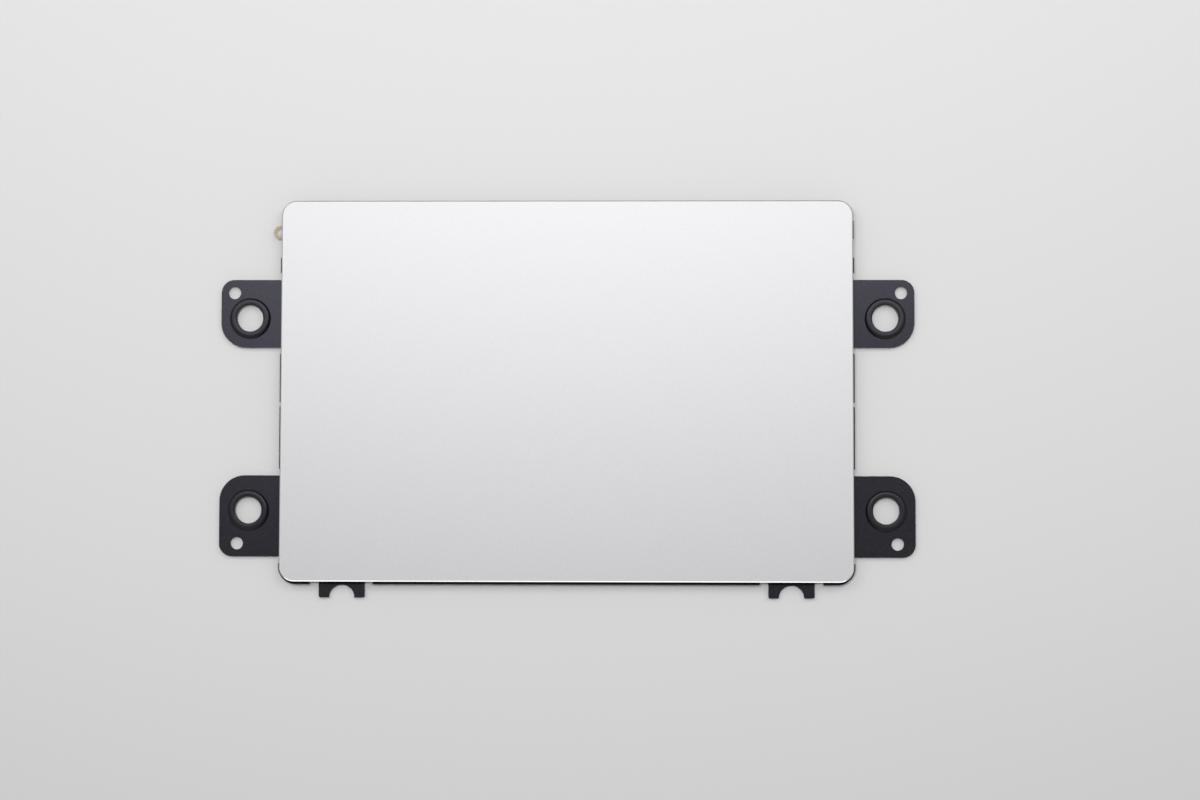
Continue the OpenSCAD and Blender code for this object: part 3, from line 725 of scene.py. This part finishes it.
def make_regulator_leads():
    """Bent leads of the regulator, three on one side and two on the other."""
    low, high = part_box("voltage_regulator")
    middle = (low + high) / 2
    half, out = REGULATOR_D_MM * MM / 2, (high.y - low.y) / 2
    lead_t, lead_w = 0.13, 0.42 * MM
    shoulder_z, foot_z = middle.z - 0.02 * MM, high.z - lead_t * MM / 2
    leads = []
    for way, places in ((1, (-1, 0, 1)), (-1, (-1, 1))):
        inner = middle.y + way * (half - 0.05 * MM)
        bend = middle.y + way * (half + 0.13 * MM)
        toe = middle.y + way * (half + 0.24 * MM)
        line = [(inner, shoulder_z), (bend, shoulder_z), (toe, foot_z), (middle.y + way * out, foot_z)]
        for i in places:
            x = middle.x + i * REGULATOR_PITCH_MM * MM
            leads.append(strip(line, x - lead_w / 2, x + lead_w / 2, lead_t, 0.06, 3))
    add_piece("regulator_leads", join(leads), [TIN], "touch_plate", "tinned_metal")


TRACE_MM = 0.16
TRACE_T_MM = 0.014


def make_traces():
    """Copper under the solder mask: runs from the controller to its neighbours and out to the electrodes."""
    chip_low, chip_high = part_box("touch_controller")
    window_low, window_high = mm(-26.2, 1.5, 0), mm(26.2, 13.85, 0)
    socket_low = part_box("socket_contacts")[0]
    chips = solids_of("resistors")
    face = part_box("sensor_board")[0].z
    middle = (chip_low + chip_high) / 2
    tracks, pads = [], []

    def run(*points):
        line = [Vector(p) for p in points]
        tracks.append(track(line, TRACE_MM * MM, face - TRACE_T_MM * MM, face))

    def via(x, y):
        at = Vector((x, y, face))
        dimple = [(0.12, -1.6 * TRACE_T_MM), (0, -1.2 * TRACE_T_MM)]
        pads.append(turned([(0, 0), (0.3, 0), (0.3, -TRACE_T_MM)] + dimple, at, steps=20))

    for i in range(12):
        slide = (i - 5.5) * 0.4 * MM
        fan = (i - 5.5) * 0.95 * MM
        y, far = middle.y + slide, middle.y + fan
        turn_x = chip_low.x - 0.9 * MM - abs(fan - slide)
        run((chip_low.x, y), (chip_low.x - 0.9 * MM, y), (turn_x, far), (window_low.x, far))
        for way, edge, limit in ((1, chip_high.y, window_high.y), (-1, chip_low.y, window_low.y)):
            x, wide = middle.x + slide, middle.x + (i - 5.5) * 1.0 * MM
            bend = edge + way * 2.1 * MM
            run((x, edge), (x, bend), (wide, bend + way * min(abs(wide - x), 1.2 * MM)), (wide, limit))
    for i, at in enumerate(chips):
        reach_y = at.y + (0.9 + 0.35 * i) * MM
        run((chip_high.x, reach_y), (at.x, reach_y), (at.x, at.y + 0.4 * MM))
        tail = socket_low.x + (0.1 + 0.5 * (6 - i)) * MM
        low_y = socket_low.y - (0.5 + 0.35 * (4 - i)) * MM
        run((at.x, at.y - 0.4 * MM), (at.x, low_y), (tail, low_y), (tail, socket_low.y))
        via(at.x + 1.2 * MM, window_high.y - (1 + i % 2) * MM)
        via(window_high.x - (1 + 1.6 * i) * MM, middle.y - (2.5 - 0.4 * i) * MM)
    add_piece("board_traces", join(tracks + pads), [TRACE], "touch_plate", "board_black")


# Stage and light

FLOOR_RADIUS = 12
FLOOR_DROP = 0.00001
FAR_GLOW = 0.4
FAR_GLOW_FROM_TO = (0.18, 1.0)


def make_floor():
    bm = bmesh.new()
    bmesh.ops.create_circle(bm, cap_ends=True, radius=FLOOR_RADIUS, segments=96)
    mesh = bpy.data.meshes.new("floor")
    bm.to_mesh(mesh)
    bm.free()
    mesh.transform(Matrix.Translation((0, 0, cad_low.z - FLOOR_DROP)))
    floor = bpy.data.objects.new("floor", mesh)
    bpy.context.scene.collection.objects.link(floor)
    f = Finish("pale_table", (0.79, 0.79, 0.79), 0.55)
    depth = f.add("ShaderNodeSeparateXYZ")
    f.link(f.place, depth.inputs["Vector"])
    # painted light: the floor's colour grows lighter towards the rear, standing in for more light falling
    # there
    painted_light_rearward = f.spread(depth.outputs["Y"], 0, 1, -0.1, 0.1)
    f.tint(painted_light_rearward, (0.655, 0.646, 0.646), (0.778, 0.771, 0.775), 0, 1)
    f.set("Specular IOR Level", 0.2)
    away = f.add("ShaderNodeVectorMath", operation="LENGTH")
    f.link(f.place, away.inputs[0])
    f.set("Emission Color", (1.0, 0.99, 1.0, 1.0))
    glow = f.spread(away.outputs["Value"], 0, FAR_GLOW, *FAR_GLOW_FROM_TO)
    f.link(glow, f.shader.inputs["Emission Strength"])
    mesh.materials.append(f.material)
    see_through_from_below(f)
    floor.visible_shadow = False
    floor.visible_diffuse = False
    floor.visible_glossy = False


def see_through_from_below(f):
    """Lets the module be looked at from under the floor."""
    clear = f.add("ShaderNodeBsdfTransparent")
    pick = f.add("ShaderNodeMixShader")
    f.link(f.add("ShaderNodeNewGeometry").outputs["Backfacing"], pick.inputs["Fac"])
    f.link(f.shader.outputs["BSDF"], pick.inputs[1])
    f.link(clear.outputs["BSDF"], pick.inputs[2])
    f.link(pick.outputs["Shader"], f.tree.nodes["Material Output"].inputs["Surface"])


FRONT_LEVEL = 0.62
REAR_LEVEL = 0.34
ZENITH_LEVEL = 0.26
ZENITH_FROM = 0.6


def make_world():
    """Pale room light, palest low down in front."""
    world = bpy.data.worlds.new("room")
    bpy.context.scene.world = world
    world.use_nodes = True
    tree = world.node_tree
    room = tree.nodes["Background"].inputs
    room["Color"].default_value = (0.985, 0.985, 1.0, 1.0)
    toward = tree.nodes.new("ShaderNodeSeparateXYZ")
    tree.links.new(tree.nodes.new("ShaderNodeTexCoord").outputs["Generated"], toward.inputs["Vector"])

    def ramp(value, start, end, first, last):
        node = tree.nodes.new("ShaderNodeMapRange")
        tree.links.new(value, node.inputs["Value"])
        for key, number in (("From Min", start), ("From Max", end), ("To Min", first), ("To Max", last)):
            node.inputs[key].default_value = number
        return node

    horizon = ramp(toward.outputs["Y"], -1, 1, FRONT_LEVEL, REAR_LEVEL)
    level = ramp(toward.outputs["Z"], 0, ZENITH_FROM, FRONT_LEVEL, ZENITH_LEVEL)
    tree.links.new(horizon.outputs["Result"], level.inputs["To Min"])
    tree.links.new(level.outputs["Result"], room["Strength"])


def add_lamp(name, at, aim, size, watts):
    lamp = bpy.data.lights.new(name, "AREA")
    lamp.shape = "RECTANGLE"
    lamp.size, lamp.size_y = size
    lamp.energy = watts
    holder = bpy.data.objects.new(name, lamp)
    holder.location = at
    holder.rotation_euler = (aim - at).to_track_quat("-Z", "Y").to_euler()
    holder.visible_camera = False
    bpy.context.scene.collection.objects.link(holder)
    return holder


OVERHEAD_AT = mm(-10, 30, 600)
GLOW_AT = mm(-40, 95, 600)
REAR_PANEL_AT = mm(-35, 280, 600)
LEFT_PANEL_AT = mm(-320, 270, 600)
RIGHT_PANEL_AT = mm(280, 248, 600)
FRONT_CARD_AT = mm(-80, -700, 110)
UNDER_AT = mm(100, 0, -600)
AIM = mm(0, 0, 4)


def make_lamps():
    """Compact lamp overhead for matt surfaces, panels for gloss and from the sides, low card in front."""
    overhead = add_lamp("overhead", OVERHEAD_AT, OVERHEAD_AT - UP, (0.2, 0.1), 1.81)
    under = add_lamp("underlight", UNDER_AT, AIM, (1.2, 0.9), 5.0)
    for lamp in (overhead, under):
        lamp.visible_glossy = False
    add_lamp("left_panel", LEFT_PANEL_AT, LEFT_PANEL_AT - UP, (0.4, 0.3), 0.86)
    add_lamp("right_panel", RIGHT_PANEL_AT, RIGHT_PANEL_AT - UP, (0.4, 0.3), 0.93)
    glow = add_lamp("overhead_glow", GLOW_AT, GLOW_AT - UP, (0.26, 0.12), 0.26)
    rear = add_lamp("rear_panel", REAR_PANEL_AT, REAR_PANEL_AT - UP, (0.6, 0.28), 1.41)
    card = add_lamp("front_card", FRONT_CARD_AT, AIM, (1.2, 0.14), 0.5)
    for lamp in (glow, rear, card):
        lamp.visible_diffuse = False


set_camera()
make_floor()
make_world()
make_lamps()

make_touch_surface()
for end in ("rear", "front"):
    for side in ("left", "right"):
        make_grommet(f"grommet_{end}_{side}")
for side in ("left", "right"):
    make_leaf(side)
    make_stop_pad(side)
make_rivets("tray_rivets", "tray_rivet_set", "frame", True)
make_rivets("leaf_rivets", "leaf_rivet_set", "touch_plate", False)
make_limit_pins()
make_dome()
make_end_capped("capacitors", "capacitor", True, CERAMIC, "capacitor_tan")
make_end_capped("resistors", "resistor", False, GLAZE, "resistor_dark")
make_package_terminals()
make_regulator_leads()
make_traces()

dress("support_tray", PAINT, 0.05)
dress("click_screw", BRASS, 0.03)
dress("bonding_film", FILM)
dress("sensor_board", MASK)
dress("stiffener_plate", STEEL, 0.03)
dress("ground_lug", GILT, 0.05, 3)
dress("touch_controller", CHIP, 0.04)
dress("memory_chip", CHIP, 0.04)
dress("voltage_regulator", CHIP, 0.03)
dress("cable_socket", IVORY, 0.03)
dress("socket_contacts", GOLD, 0.02)
dress("socket_anchors", TIN, 0.02)
dress("socket_latch", LATCH, 0.03)
dress("switch_housing", SWITCH, 0.03)
dress("switch_cover", TIN, 0.02)
dress("switch_plunger", PLUNGER, 0.05, 3)

bpy.context.scene.view_settings.view_transform = "Standard"
